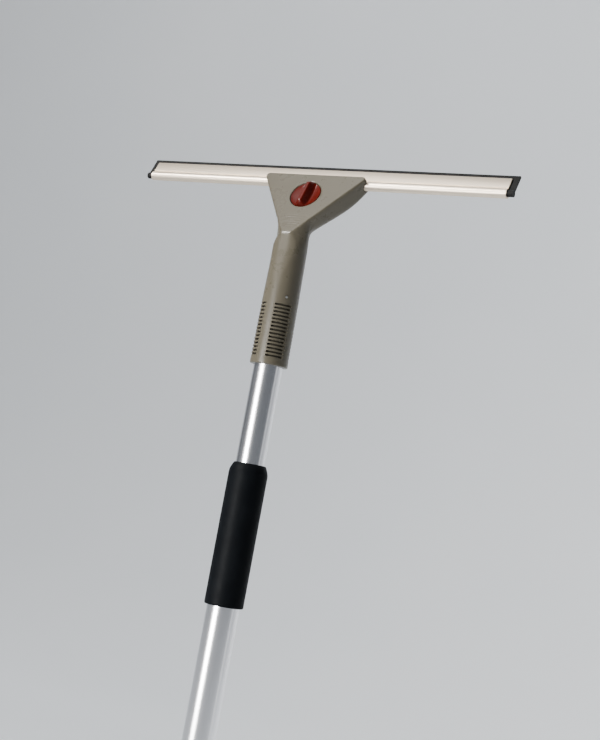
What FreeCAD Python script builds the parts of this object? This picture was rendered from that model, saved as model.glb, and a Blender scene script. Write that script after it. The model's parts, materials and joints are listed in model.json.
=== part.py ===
import FreeCAD, Part
import math
import os

# Window cleaning squeegee on a telescopic pole. Millimetres.
# Row frame: +Z runs up the pole to the head, +X runs along the blade, -Y faces the user (the knob side).
# The origin is on the pole's axis at the lower end of the outer tube.

# ---- pole -------------------------------------------------------------------------------
OUTER_TUBE_R = 14.0
OUTER_TUBE_WALL = 1.0
OUTER_TUBE_LENGTH = 500.0
INNER_TUBE_R = 12.5
INNER_TUBE_WALL = 1.2
INNER_TUBE_LENGTH = 480.0
GRIP_R = 16.74
GRIP_BOTTOM = 389.0
GRIP_TOP = 510.0
GRIP_TAPER = 8.5
GRIP_MOUTH_R = 12.9
GRIP_RIB_HEIGHT = 2.0
GRIP_RIB_DEPTH = 0.4
BUSH_SKIRT = 20.0
BUSH_BORE_R = 12.55
BUSH_FLANGE_R = 14.0
BUSH_FLANGE_HEIGHT = 4.0
CAP_DROP = 24.0
CAP_R = 13.7
CAP_PLUG_LENGTH = 20.0
CAP_EYE_HALF = 7.0
HANG_HOLE_R = 4.0
HANG_HOLE_Z = -12.0

# ---- twist lock at the lower end of the inner tube ----------------------------------------
LOCK_THROW = 0.8
LOCK_TURN = 90.0
SPIGOT_R = 5.0
SPIGOT_LENGTH = 12.0
GLIDE_NECK_R = 9.0
GLIDE_HEIGHT = 8.0
LOCK_FLANGE = 2.0

# ---- handle moulding ----------------------------------------------------------------------
SLEEVE_Z = 595.0
SLEEVE_PROFILE = ((0.0, 15.8), (45.0, 15.44), (60.0, 15.2), (80.0, 14.8))
NECK_R = 14.5
NECK_Z = 94.0
PARTING_STEP = 0.06
SOCKET_R = 12.55
SOCKET_DEPTH = 68.5
NECK_CORE_R = 11.0
NECK_CORE_TOP = 98.0
GROOVE_FIRST = 7.4
GROOVE_PITCH = 3.16
GROOVES_PER_COLUMN = 15
GROOVE_HEIGHT = 1.2
GROOVE_DEPTH = 1.3
GROOVE_START = 17.3
GROOVE_END = 70.5
PIN_Z = 59.0
PIN_ANGLE = 48.7
PIN_R = 1.25

# ---- head, in its own frame: x along the blade, y back from the face, z up the face --------
HEAD_LEAN = 27.57
CREASE_Y = -12.38
CREASE_Z = 114.62
FACET_FOOT_Z = 80.0
FACE_HALF_LOW = 12.9
FACE_LOW_U = 11.4
FACE_FLARE = 0.703
HEAD_TOP_U = 67.2
CORNER_R = 4.5
# height up the face, depth from face to back, squareness of the cross-section, how far it stands proud
# of the face before the face is cut flat
HEAD_SECTIONS = (
    (12.0, 18.5, 2.3, 7.0),
    (20.0, 17.3, 2.9, 6.0),
    (28.0, 17.6, 3.8, 5.0),
    (36.0, 18.7, 4.6, 4.5),
    (44.0, 19.8, 5.2, 4.0),
    (52.0, 19.8, 5.6, 4.0),
    (60.0, 18.0, 6.0, 4.0),
    (68.0, 15.4, 6.0, 4.0),
)

# ---- mechanism in the head ------------------------------------------------------------------
SPINE_DEPTH = 9.2
SPINE_U = 64.9
SPINE_R = 4.15
SPINE_BORE_R = 3.05
SEAT_R = 4.5
SEAT_CHAMFER = 1.2
KNOB_U = 43.9
KNOB_R = 13.8
KNOB_POCKET_R = 14.15
KNOB_POCKET_DEPTH = 4.0
KNOB_SHAFT_R = 5.0
KNOB_KEY_HALF = 3.0
KNOB_RISE = 4.8
RIDGE_HALF_LENGTH = 13.1
FLOOR_BACK = 6.5
CAM_FRONT = 6.9
CAM_BACK = 9.9
CAM_R = 10.6
CAM_PEG_RADIUS = 8.0
CAM_LIFT = 1.5
CAM_TURN = 90.0
PEG_R = 1.3
STOP_RADIUS = 11.5
STOP_R = 1.2
KNOB_SCREW_R = 4.0
SHOE_HALF = 12.0
SHOE_BOTTOM_U = 56.4
CAVITY_TOP_U = 54.9
TONGUE_HALF = 6.0
RING_RADIUS = 7.5
RING_SECTION = 0.75
COVER_INSET = 4.5
COVER_LOW_U = 19.0
COVER_HIGH_U = 55.5
COVER_LEDGE = 2.5
COVER_INNER = ((16.0, 14.2), (20.0, 14.2), (29.0, 15.0), (38.0, 16.4), (47.0, 17.4), (58.0, 16.6))
SCREW_SPOTS = (("left", -22.0, 49.0), ("right", 22.0, 49.0), ("lower", 0.0, 24.5))
SCREW_HEAD_R = 2.75
SCREW_SHANK_R = 1.25
BOSS_R = 3.2

# ---- blade ------------------------------------------------------------------------------------
CHANNEL_HALF = 179.5
LIP_HALF = 2.6
LIP_GAP_HALF = 1.15
LIP_TOP_U = 79.85
RUBBER_HALF = 185.0
RUBBER_TIP_U = 84.06
RUBBER_WEB_HALF = 1.05
RUBBER_BEAD_R = 2.85

RUN = 0.05


def vec(x, y, z):
    return FreeCAD.Vector(x, y, z)


def save(shape, name):
    shape.removeSplitter().exportStep("parts/" + name + ".step")


def disc(radius, low, high):
    """A cylinder about the pole's axis between two heights."""
    return Part.makeCylinder(radius, high - low, vec(0, 0, low))


def ring(inner, outer, low, high):
    return disc(outer, low, high).cut(disc(inner, low - 1, high + 1))


def turned(points):
    """A solid turned about the pole's axis from a closed outline of (radius, height) points."""
    corners = [vec(r, 0, z) for r, z in points]
    face = Part.Face(Part.makePolygon(corners + [corners[0]]))
    return face.revolve(vec(0, 0, 0), vec(0, 0, 1), 360)


def edges_where(shape, test):
    return [e for e in shape.Edges if test(e)]


def in_head(shape):
    """Moves a shape drawn in the head's own frame to its place on the pole."""
    placed = shape.copy()
    frame = FreeCAD.Placement(vec(0, CREASE_Y, SLEEVE_Z + CREASE_Z), FreeCAD.Rotation(vec(1, 0, 0), -HEAD_LEAN))
    placed.Placement = frame.multiply(placed.Placement)
    return placed


def block(x0, x1, y0, y1, z0, z1):
    return Part.makeBox(x1 - x0, y1 - y0, z1 - z0, vec(x0, y0, z0))


def pillar(radius, x, u, front, back):
    """A cylinder square to the face, in the head's frame."""
    return Part.makeCylinder(radius, back - front, vec(x, front, u), vec(0, 1, 0))


def rail(radius, half, depth, u):
    """A cylinder along the blade, in the head's frame."""
    return Part.makeCylinder(radius, 2 * half, vec(-half, depth, u), vec(1, 0, 0))


def side_prism(points, half):
    """Extrudes a (depth, height) outline along the blade, in the head's frame."""
    corners = [vec(-half, y, z) for y, z in points]
    face = Part.Face(Part.makePolygon(corners + [corners[0]]))
    return face.extrude(vec(2 * half, 0, 0))


def face_prism(points, front, back):
    """Extrudes an outline (x, height) square to the face, in the head's frame."""
    corners = [vec(x, front, z) for x, z in points]
    face = Part.Face(Part.makePolygon(corners + [corners[0]]))
    return face.extrude(vec(0, back - front, 0))


def face_half(u):
    """Half the width of the head's face at a height up the face."""
    return FACE_HALF_LOW + FACE_FLARE * (u - FACE_LOW_U)


# ---- pole parts ---------------------------------------------------------------------------------


def outer_tube():
    tube = ring(OUTER_TUBE_R - OUTER_TUBE_WALL, OUTER_TUBE_R, 0, OUTER_TUBE_LENGTH)
    land = ring(OUTER_TUBE_R - GRIP_RIB_DEPTH, OUTER_TUBE_R + 1, GRIP_BOTTOM, GRIP_BOTTOM + GRIP_RIB_HEIGHT)
    return tube.cut(land)


def grip_sleeve():
    bore = OUTER_TUBE_R
    rib = OUTER_TUBE_R - GRIP_RIB_DEPTH
    above_bush = OUTER_TUBE_LENGTH + BUSH_FLANGE_HEIGHT
    outline = [
        (rib, GRIP_BOTTOM),
        (GRIP_R - 1.2, GRIP_BOTTOM),
        (GRIP_R - 0.35, GRIP_BOTTOM + 0.35),
        (GRIP_R, GRIP_BOTTOM + 1.2),
        (GRIP_R, GRIP_TOP - GRIP_TAPER),
        (GRIP_R - 0.4, GRIP_TOP - GRIP_TAPER + 1.6),
        (GRIP_R - 2.5, GRIP_TOP - 1.4),
        (GRIP_R - 3.0, GRIP_TOP - 0.4),
        (GRIP_R - 3.4, GRIP_TOP),
        (GRIP_MOUTH_R, GRIP_TOP),
        (GRIP_MOUTH_R, above_bush),
        (bore, above_bush),
        (bore, GRIP_BOTTOM + GRIP_RIB_HEIGHT),
        (rib, GRIP_BOTTOM + GRIP_RIB_HEIGHT),
    ]
    return turned(outline)


def top_guide_bush():
    skirt_r = OUTER_TUBE_R - OUTER_TUBE_WALL
    skirt = ring(BUSH_BORE_R, skirt_r, OUTER_TUBE_LENGTH - BUSH_SKIRT, OUTER_TUBE_LENGTH)
    flange = ring(BUSH_BORE_R, BUSH_FLANGE_R, OUTER_TUBE_LENGTH, OUTER_TUBE_LENGTH + BUSH_FLANGE_HEIGHT)
    return skirt.fuse(flange)


def end_cap():
    plug = disc(OUTER_TUBE_R - OUTER_TUBE_WALL, 0, CAP_PLUG_LENGTH)
    core = disc(OUTER_TUBE_R - OUTER_TUBE_WALL - 2.5, 2.5, CAP_PLUG_LENGTH + 1)
    drop = disc(CAP_R, -CAP_DROP, 0)
    drop = drop.makeChamfer(1.5, edges_where(drop, lambda e: e.BoundBox.ZMax < 1 - CAP_DROP))
    eye = block(-CAP_EYE_HALF, CAP_EYE_HALF, -CAP_R, CAP_R, -CAP_DROP, -4)
    rim = disc(CAP_R, -4, 0)
    hole = Part.makeCylinder(HANG_HOLE_R, 40, vec(-20, 0, HANG_HOLE_Z), vec(1, 0, 0))
    return drop.common(eye.fuse(rim)).fuse(plug).cut(core).cut(hole)


def inner_tube():
    top = SLEEVE_Z + SOCKET_DEPTH - 0.5
    tube = ring(INNER_TUBE_R - INNER_TUBE_WALL, INNER_TUBE_R, top - INNER_TUBE_LENGTH, top)
    return tube.cut(pin_rod(PIN_R, 20.0))


def pin_rod(radius, half):
    """The rod that crosses the socket and the tube, front right to back left."""
    a = math.radians(PIN_ANGLE)
    along = vec(math.sin(a), -math.cos(a), 0)
    start = vec(0, 0, SLEEVE_Z + PIN_Z) - along * half
    return Part.makeCylinder(radius, 2 * half, start, along)


def socket_pin():
    """A rolled spring pin: a tube with one slit, its ends flush with the sleeve."""
    a = math.radians(PIN_ANGLE)
    along = vec(math.sin(a), -math.cos(a), 0)
    half = SLEEVE_PROFILE[2][1] - 0.1
    pin = pin_rod(PIN_R, half).cut(pin_rod(PIN_R - 0.45, half + 1))
    slit = Part.makeBox(2 * half + 2, 0.35, PIN_R + 1, vec(-half - 1, -0.175, 0))
    slit.rotate(vec(0, 0, 0), vec(0, 0, 1), math.degrees(math.atan2(along.y, along.x)))
    slit.translate(vec(0, 0, SLEEVE_Z + PIN_Z))
    return pin.cut(slit)


# ---- twist lock ---------------------------------------------------------------------------------

TUBE_FOOT = SLEEVE_Z + SOCKET_DEPTH - 0.5 - INNER_TUBE_LENGTH
NECK_TOP = TUBE_FOOT - LOCK_FLANGE
NECK_FOOT = NECK_TOP - GLIDE_HEIGHT
SPIGOT_TOP = NECK_FOOT - LOCK_FLANGE
SPIGOT_FOOT = SPIGOT_TOP - SPIGOT_LENGTH


def throw(angle):
    """The spigot's centre after the inner tube has turned by an angle from locked."""
    a = math.radians(angle)
    return vec(LOCK_THROW * math.cos(a), LOCK_THROW * math.sin(a), 0)


def lock_plug():
    body = disc(INNER_TUBE_R - INNER_TUBE_WALL, TUBE_FOOT, TUBE_FOOT + 25)
    body = body.fuse(disc(INNER_TUBE_R, NECK_TOP, TUBE_FOOT))
    body = body.fuse(disc(GLIDE_NECK_R, NECK_FOOT, NECK_TOP))
    body = body.fuse(disc(INNER_TUBE_R, SPIGOT_TOP, NECK_FOOT))
    spigot = disc(SPIGOT_R, SPIGOT_FOOT, SPIGOT_TOP)
    spigot.translate(throw(0))
    screw_hole = disc(1.2, SPIGOT_FOOT - 1, SPIGOT_TOP)
    screw_hole.translate(throw(0))
    hollow = disc(8.0, TUBE_FOOT + 3, TUBE_FOOT + 26)
    return body.fuse(spigot).cut(screw_hole).cut(hollow)


def cam_ring():
    """Rests jammed against the tube wall; concentric with the tube once the pole has turned."""
    shift = throw(0) - throw(LOCK_TURN)
    outer_r = OUTER_TUBE_R - OUTER_TUBE_WALL - RUN - shift.Length
    outer = disc(outer_r, SPIGOT_FOOT + 0.2, SPIGOT_TOP - 0.1)
    outer = outer.makeChamfer(0.8, edges_where(outer, lambda e: e.Length > 2 * outer_r))
    outer.translate(shift)
    bore = disc(SPIGOT_R + RUN, SPIGOT_FOOT - 1, SPIGOT_TOP + 1)
    bore.translate(throw(0))
    return outer.cut(bore)


def cam_washer():
    washer = ring(1.3, 7.0, SPIGOT_FOOT - 1.2, SPIGOT_FOOT)
    washer.translate(throw(0))
    return washer


def cam_screw():
    head = disc(2.6, SPIGOT_FOOT - 3.0, SPIGOT_FOOT - 1.2)
    shank = disc(1.2, SPIGOT_FOOT - 1.2, SPIGOT_FOOT + 8)
    slot = block(-3, 3, -0.4, 0.4, SPIGOT_FOOT - 3.5, SPIGOT_FOOT - 2.3)
    screw = head.fuse(shank).cut(slot)
    screw.translate(throw(0))
    return screw


def glide_ring():
    outer_r = OUTER_TUBE_R - OUTER_TUBE_WALL - 0.07
    body = ring(GLIDE_NECK_R + RUN, outer_r, NECK_FOOT + 0.1, NECK_TOP - 0.1)
    split = block(-1, 1, -20, 0, NECK_FOOT - 1, NECK_TOP + 1)
    return body.cut(split)


# ---- handle moulding ----------------------------------------------------------------------------


def section(centre_y, centre_z, lean, half_width, half_depth, squareness):
    """A closed superellipse wire. Its plane leans back from level by an angle."""
    a = math.radians(lean)
    points = []
    count = 32
    for i in range(count):
        t = 2 * math.pi * (i + 0.5) / count
        x = math.copysign(abs(math.cos(t)) ** (2 / squareness), math.cos(t)) * half_width
        d = math.copysign(abs(math.sin(t)) ** (2 / squareness), math.sin(t)) * half_depth
        points.append(vec(x, centre_y + d * math.cos(a), centre_z - d * math.sin(a)))
    curve = Part.BSplineCurve()
    curve.interpolate(Points=points, PeriodicFlag=True)
    return Part.Wire([curve.toShape()])


def blend(first, second, share):
    return tuple(a + (b - a) * share for a, b in zip(first, second))


def head_section(u, depth, squareness, proud):
    """A cross-section square to the face that stands proud of it, so that the face can be cut flat."""
    a = math.radians(HEAD_LEAN)
    half_depth = (depth + proud) / 2
    centre = depth - half_depth
    share = (1 - (centre / half_depth) ** squareness) ** (1 / squareness)
    y = CREASE_Y + u * math.sin(a) + centre * math.cos(a)
    z = SLEEVE_Z + CREASE_Z + u * math.cos(a) - centre * math.sin(a)
    return y, z, HEAD_LEAN, face_half(u) / share, half_depth, squareness


def outer_form():
    """The moulding's outside before the face, the facet and the top are cut."""
    inside = SLEEVE_PROFILE[3][1] - PARTING_STEP
    sleeve_top = (0, SLEEVE_Z + SLEEVE_PROFILE[3][0] - 3, 0, inside, inside, 2.0)
    neck = (0, SLEEVE_Z + NECK_Z, 0, NECK_R, NECK_R, 2.0)
    head = [head_section(*row) for row in HEAD_SECTIONS]
    rows = [sleeve_top, blend(sleeve_top, neck, 0.5), neck]
    rows += [blend(neck, head[0], share) for share in (0.25, 0.5, 0.75)]
    upper = Part.makeLoft([section(*row) for row in rows + head], True, False, False, 3)
    outline = [(0, SLEEVE_Z), (SLEEVE_PROFILE[0][1] - 0.8, SLEEVE_Z), (SLEEVE_PROFILE[0][1] - 0.2, SLEEVE_Z + 0.25)]
    outline += [(SLEEVE_PROFILE[0][1], SLEEVE_Z + 1.0)]
    outline += [(r, SLEEVE_Z + z) for z, r in SLEEVE_PROFILE[1:]]
    outline += [(0, SLEEVE_Z + SLEEVE_PROFILE[3][0])]
    return turned(outline).fuse(upper)


def cut_flats(form):
    """Cuts the flat face, the facet below the crease, and the top with its rounded corners."""
    in_front = in_head(block(-80, 80, -60, 0, -40, 140))
    facet_lean = math.degrees(math.atan2(SLEEVE_PROFILE[3][1] + CREASE_Y, CREASE_Z - FACET_FOOT_Z))
    facet = block(-40, 40, -40, 0, -60, 60)
    facet.Placement = FreeCAD.Placement(
        vec(0, CREASE_Y, SLEEVE_Z + CREASE_Z), FreeCAD.Rotation(vec(1, 0, 0), -facet_lean)
    )
    top = block(-80, 80, -60, 60, HEAD_TOP_U, 140)
    shape = form.cut(in_front).cut(facet).cut(in_head(top))
    slant = math.atan(FACE_FLARE)
    centre_u = HEAD_TOP_U - CORNER_R
    centre_x = face_half(centre_u) - CORNER_R / math.cos(slant)
    for side in (-1, 1):
        wedge = [
            (side * centre_x, centre_u),
            (side * centre_x, centre_u + 20),
            (side * (centre_x + 40), centre_u + 20),
            (side * (centre_x + 40 * math.cos(slant)), centre_u - 40 * math.sin(slant)),
        ]
        corner = face_prism(wedge, -5, 40).cut(pillar(CORNER_R, side * centre_x, centre_u, -6, 41))
        shape = shape.cut(in_head(corner))
    return shape


def grip_grooves():
    """Four columns of short grooves round the sleeve, as one compound."""
    grooves = []
    span = GROOVE_END - GROOVE_START
    for level in range(GROOVES_PER_COLUMN):
        z = SLEEVE_Z + GROOVE_FIRST + level * GROOVE_PITCH
        inner = 15.6 - GROOVE_DEPTH
        low, high = z - GROOVE_HEIGHT / 2, z + GROOVE_HEIGHT / 2
        corners = [vec(inner, 0, low), vec(17, 0, low), vec(17, 0, high), vec(inner, 0, high)]
        face = Part.Face(Part.makePolygon(corners + [corners[0]]))
        for start in (GROOVE_START, -GROOVE_END, 180 + GROOVE_START, 180 - GROOVE_END):
            groove = face.revolve(vec(0, 0, 0), vec(0, 0, 1), span)
            groove.rotate(vec(0, 0, 0), vec(0, 0, 1), start - 90)
            grooves.append(groove)
    return Part.makeCompound(grooves)


def cover_outline(inset, low, high):
    low_half = face_half(low) - inset
    high_half = face_half(high) - inset
    return [(-low_half, low), (low_half, low), (high_half, high), (-high_half, high)]


def behind_cover_line():
    """Everything behind the cover's inner side, in the head's frame."""
    line = [(depth, u) for u, depth in COVER_INNER]
    return side_prism([(40, COVER_INNER[0][0])] + line + [(40, COVER_INNER[-1][0])], 60)


def cavity():
    """The hollow for the mechanism, open at the back, with screw bosses left standing."""
    room = face_prism(cover_outline(COVER_INSET + COVER_LEDGE, COVER_LOW_U + COVER_LEDGE, CAVITY_TOP_U), FLOOR_BACK, 40)
    for _, x, u in SCREW_SPOTS:
        boss = pillar(BOSS_R, x, u, FLOOR_BACK - 1, 40).cut(behind_cover_line())
        room = room.cut(boss)
    return room


def stop_groove():
    """An arc in the pocket's floor that the knob's stop pin runs along, a quarter turn."""
    inner, outer = STOP_RADIUS - STOP_R - 0.1, STOP_RADIUS + STOP_R + 0.1
    front, back = KNOB_POCKET_DEPTH - 1, KNOB_POCKET_DEPTH + 1.6
    corners = [vec(inner, front, 0), vec(outer, front, 0), vec(outer, back, 0), vec(inner, back, 0)]
    face = Part.Face(Part.makePolygon(corners + [corners[0]]))
    spare = math.degrees(math.asin((STOP_R + 0.1) / inner))
    groove = face.revolve(vec(0, 0, 0), vec(0, -1, 0), CAM_TURN + 2 * spare)
    groove.rotate(vec(0, 0, 0), vec(0, -1, 0), -spare)
    groove.translate(vec(0, 0, KNOB_U))
    return groove


def channel_seat():
    """The round seat that the channel's spine slides along, open at the top, eased at both ends."""
    seat = rail(SEAT_R, 80, SPINE_DEPTH, SPINE_U)
    reach = face_half(SPINE_U) + 1.2
    for side in (-1, 1):
        cone = Part.makeCone(SEAT_R, SEAT_R + 8, 8, vec(side * (reach - SEAT_CHAMFER), SPINE_DEPTH, SPINE_U),
                             vec(side, 0, 0))
        seat = seat.fuse(cone)
    return seat


def shoe_way():
    """The slot that guides the clamp shoe from the cavity to the seat."""
    bottom = CAVITY_TOP_U - 0.9
    nose = block(-SHOE_HALF - RUN, SHOE_HALF + RUN, SPINE_DEPTH - 2.5 - RUN, SPINE_DEPTH + 2.5 + RUN, bottom, SPINE_U - 1)
    tongue = block(-TONGUE_HALF - RUN, TONGUE_HALF + RUN, SPINE_DEPTH, 12.95, bottom, 59.2)
    return nose.fuse(tongue)


def handle(form):
    shape = cut_flats(form).cut(grip_grooves())
    shape = shape.cut(disc(SOCKET_R, SLEEVE_Z - 1, SLEEVE_Z + SOCKET_DEPTH))
    shape = shape.cut(disc(NECK_CORE_R, SLEEVE_Z + SOCKET_DEPTH - 1, SLEEVE_Z + NECK_CORE_TOP))
    shape = shape.cut(pin_rod(PIN_R, 20.0))
    cuts = pillar(KNOB_POCKET_R, 0, KNOB_U, -10, KNOB_POCKET_DEPTH)
    cuts = cuts.fuse(pillar(KNOB_SHAFT_R + RUN, 0, KNOB_U, 0, FLOOR_BACK + 1))
    cuts = cuts.fuse(cavity())
    cuts = cuts.fuse(channel_seat())
    cuts = cuts.fuse(shoe_way())
    shape = shape.cut(in_head(cuts)).cut(in_head(stop_groove()))
    lid = face_prism(cover_outline(COVER_INSET - 0.1, COVER_LOW_U - 0.1, COVER_HIGH_U + 0.1), 5, 40)
    shape = shape.cut(in_head(lid.common(behind_cover_line())))
    for _, x, u in SCREW_SPOTS:
        shape = shape.cut(in_head(pillar(SCREW_SHANK_R, x, u, FLOOR_BACK + 1, 30)))
    return shape


def back_depth(u):
    """How far behind the face the cover's inner side lies at a height up the face."""
    for (u0, d0), (u1, d1) in zip(COVER_INNER, COVER_INNER[1:]):
        if u0 <= u <= u1:
            return d0 + (d1 - d0) * (u - u0) / (u1 - u0)
    return COVER_INNER[-1][1]


def back_cover(form):
    lid = face_prism(cover_outline(COVER_INSET, COVER_LOW_U, COVER_HIGH_U), 5, 40)
    cover = cut_flats(form).common(in_head(lid.common(behind_cover_line())))
    for _, x, u in SCREW_SPOTS:
        seat = back_depth(u) + 1.2
        cover = cover.cut(in_head(pillar(SCREW_HEAD_R + 0.1, x, u, seat, 40)))
        cover = cover.cut(in_head(pillar(SCREW_SHANK_R + 0.1, x, u, 5, 40)))
    return cover


def cover_screw(x, u):
    seat = back_depth(u) + 1.2
    head = pillar(SCREW_HEAD_R, x, u, seat, seat + 1.3)
    shank = pillar(SCREW_SHANK_R, x, u, FLOOR_BACK + 2, seat)
    screw = head.fuse(shank)
    for turn in (0, 90):
        slot = block(-1.6, 1.6, seat + 0.4, seat + 2, -0.35, 0.35)
        slot.rotate(vec(0, 0, 0), vec(0, 1, 0), 45 + turn)
        slot.translate(vec(x, 0, u))
        screw = screw.cut(slot)
    return in_head(screw)


# ---- knob and clamp -----------------------------------------------------------------------------


def lock_knob():
    """A round knob set flush in the face, with a finger ridge that stands proud and a dish on each side."""
    plate = pillar(KNOB_R, 0, 0, 0.3, 3.8)
    plate = plate.makeFillet(0.6, edges_where(plate, lambda e: e.Length > 50 and e.BoundBox.YMax < 1))
    for side in (-1, 1):
        dish = Part.makeSphere(9.5, vec(side * 9.6, -7.3, 0))
        plate = plate.cut(dish)
    ridge = block(-3.1, 3.1, -KNOB_RISE, 2, -RIDGE_HALF_LENGTH, RIDGE_HALF_LENGTH)
    ridge = ridge.makeFillet(2.9, edges_where(ridge, lambda e: abs(e.BoundBox.YLength - 2 - KNOB_RISE) < 0.01))
    ridge = ridge.makeFillet(1.6, edges_where(ridge, lambda e: e.BoundBox.YMax < 0.01 - KNOB_RISE))
    shaft = pillar(KNOB_SHAFT_R, 0, 0, 3.8, CAM_FRONT)
    key = block(-KNOB_KEY_HALF, KNOB_KEY_HALF, CAM_FRONT, CAM_BACK, -KNOB_KEY_HALF, KNOB_KEY_HALF)
    stop = pillar(STOP_R, STOP_RADIUS, 0, 3.5, KNOB_POCKET_DEPTH + 1.4)
    groove = Part.makeTorus(RING_RADIUS, RING_SECTION, vec(0, 3.2, 0), vec(0, 1, 0))
    groove = groove.fuse(pillar(RING_RADIUS + RING_SECTION, 0, 0, 3.2, 3.9).cut(
        pillar(RING_RADIUS - RING_SECTION, 0, 0, 3.0, 4.0)))
    knob = plate.fuse(ridge).fuse(shaft).fuse(key).fuse(stop).cut(groove)
    knob = knob.cut(pillar(1.2, 0, 0, 1.5, 20))
    knob.translate(vec(0, 0, KNOB_U))
    return in_head(knob)


def knob_friction_ring():
    ring_shape = Part.makeTorus(RING_RADIUS, RING_SECTION - 0.01, vec(0, 3.2, KNOB_U), vec(0, 1, 0))
    return in_head(ring_shape)


def spiral_point(angle, offset):
    """A point beside the cam's track: its radius grows evenly with the angle, seen from the front."""
    radius = CAM_PEG_RADIUS + CAM_LIFT * angle / CAM_TURN + offset
    a = math.radians(angle)
    return vec(-radius * math.sin(a), 0, radius * math.cos(a))


def cam_disc():
    """Keyed to the knob. A spiral track in its back moves the shoe's peg as the knob turns."""
    plate = pillar(CAM_R, 0, 0, CAM_FRONT, CAM_BACK)
    half = PEG_R + 0.1
    steps = [-CAM_TURN + CAM_TURN * i / 12 for i in range(13)]
    outer = Part.BSplineCurve()
    outer.interpolate([spiral_point(a, half) for a in steps])
    inner = Part.BSplineCurve()
    inner.interpolate([spiral_point(a, -half) for a in steps])
    first = Part.makeLine(spiral_point(steps[0], -half), spiral_point(steps[0], half))
    last = Part.makeLine(spiral_point(steps[-1], half), spiral_point(steps[-1], -half))
    track = Part.Face(Part.Wire(Part.__sortEdges__([outer.toShape(), last, inner.toShape(), first])))
    track = track.extrude(vec(0, 6, 0))
    track.translate(vec(0, CAM_BACK - 2, 0))
    for angle in (steps[0], steps[-1]):
        end = spiral_point(angle, 0)
        track = track.fuse(pillar(half, end.x, end.z, CAM_BACK - 2, CAM_BACK + 4))
    keyway = block(-KNOB_KEY_HALF, KNOB_KEY_HALF, 0, 20, -KNOB_KEY_HALF, KNOB_KEY_HALF)
    disc_shape = plate.cut(track).cut(keyway)
    disc_shape.translate(vec(0, 0, KNOB_U))
    return in_head(disc_shape)


def knob_screw():
    head = pillar(KNOB_SCREW_R, 0, KNOB_U, CAM_BACK, CAM_BACK + 1.0)
    head = head.fuse(pillar(2.8, 0, KNOB_U, CAM_BACK + 1.0, CAM_BACK + 2.4))
    shank = pillar(1.2, 0, KNOB_U, 1.6, CAM_BACK)
    slot = block(-4, 4, CAM_BACK + 1.4, CAM_BACK + 4, KNOB_U - 0.4, KNOB_U + 0.4)
    return in_head(head.fuse(shank).cut(slot))


def clamp_shoe():
    """Slides up against the channel's spine. Its peg rides in the cam's track."""
    nose = block(-SHOE_HALF, SHOE_HALF, SPINE_DEPTH - 2.5, SPINE_DEPTH + 2.5, SHOE_BOTTOM_U, SPINE_U - 2)
    nose = nose.cut(rail(5.4, SHOE_HALF + 1, SPINE_DEPTH, SPINE_U))
    peg_u = KNOB_U + CAM_PEG_RADIUS
    tongue = block(-TONGUE_HALF, TONGUE_HALF, 10.1, 12.9, peg_u - 2.2, 59.0)
    peg = pillar(PEG_R, 0, peg_u, 8.1, 10.1)
    return in_head(nose.fuse(tongue).fuse(peg))


def shoe_pad():
    pad = rail(5.4, SHOE_HALF - 0.5, SPINE_DEPTH, SPINE_U)
    pad = pad.cut(rail(SPINE_R + RUN, SHOE_HALF, SPINE_DEPTH, SPINE_U))
    keep = block(-SHOE_HALF, SHOE_HALF, SPINE_DEPTH - 2.4, SPINE_DEPTH + 2.4, 55, SPINE_U - 2)
    return in_head(pad.common(keep))


# ---- blade --------------------------------------------------------------------------------------


def blade_channel():
    """An extruded channel: a round hollow spine with two lips that hold the rubber."""
    spine = rail(SPINE_R, CHANNEL_HALF, SPINE_DEPTH, SPINE_U)
    front, back = SPINE_DEPTH - LIP_HALF, SPINE_DEPTH + LIP_HALF
    lips = side_prism([
        (front, SPINE_U),
        (back, SPINE_U),
        (back, LIP_TOP_U - 0.6),
        (back - 0.6, LIP_TOP_U),
        (front + 0.6, LIP_TOP_U),
        (front, LIP_TOP_U - 0.6),
    ], CHANNEL_HALF)
    hollow = rail(SPINE_BORE_R, CHANNEL_HALF + 1, SPINE_DEPTH, SPINE_U)
    gap = block(-200, 200, SPINE_DEPTH - LIP_GAP_HALF, SPINE_DEPTH + LIP_GAP_HALF, SPINE_U, LIP_TOP_U + 1)
    return in_head(spine.fuse(lips).cut(hollow).cut(gap))


def rubber_blade():
    bead = rail(RUBBER_BEAD_R, RUBBER_HALF, SPINE_DEPTH, SPINE_U)
    web = block(-RUBBER_HALF, RUBBER_HALF, SPINE_DEPTH - RUBBER_WEB_HALF, SPINE_DEPTH + RUBBER_WEB_HALF,
                SPINE_U, RUBBER_TIP_U)
    return in_head(bead.fuse(web))


def main():
    os.makedirs("parts", exist_ok=True)
    form = outer_form()
    pieces = {
        "outer_tube": outer_tube(),
        "grip_sleeve": grip_sleeve(),
        "top_guide_bush": top_guide_bush(),
        "end_cap": end_cap(),
        "inner_tube": inner_tube(),
        "socket_pin": socket_pin(),
        "lock_plug": lock_plug(),
        "cam_ring": cam_ring(),
        "cam_washer": cam_washer(),
        "cam_screw": cam_screw(),
        "glide_ring": glide_ring(),
        "handle": handle(form),
        "back_cover": back_cover(form),
        "lock_knob": lock_knob(),
        "knob_friction_ring": knob_friction_ring(),
        "cam_disc": cam_disc(),
        "knob_screw": knob_screw(),
        "clamp_shoe": clamp_shoe(),
        "shoe_pad": shoe_pad(),
        "blade_channel": blade_channel(),
        "rubber_blade": rubber_blade(),
    }
    for side, x, u in SCREW_SPOTS:
        pieces["cover_screw_" + side] = cover_screw(x, u)
    for name, shape in pieces.items():
        save(shape, name)


main()
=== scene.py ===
import bpy
import bmesh
import json
import math
import numpy as np
from mathutils import Matrix, Vector


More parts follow.
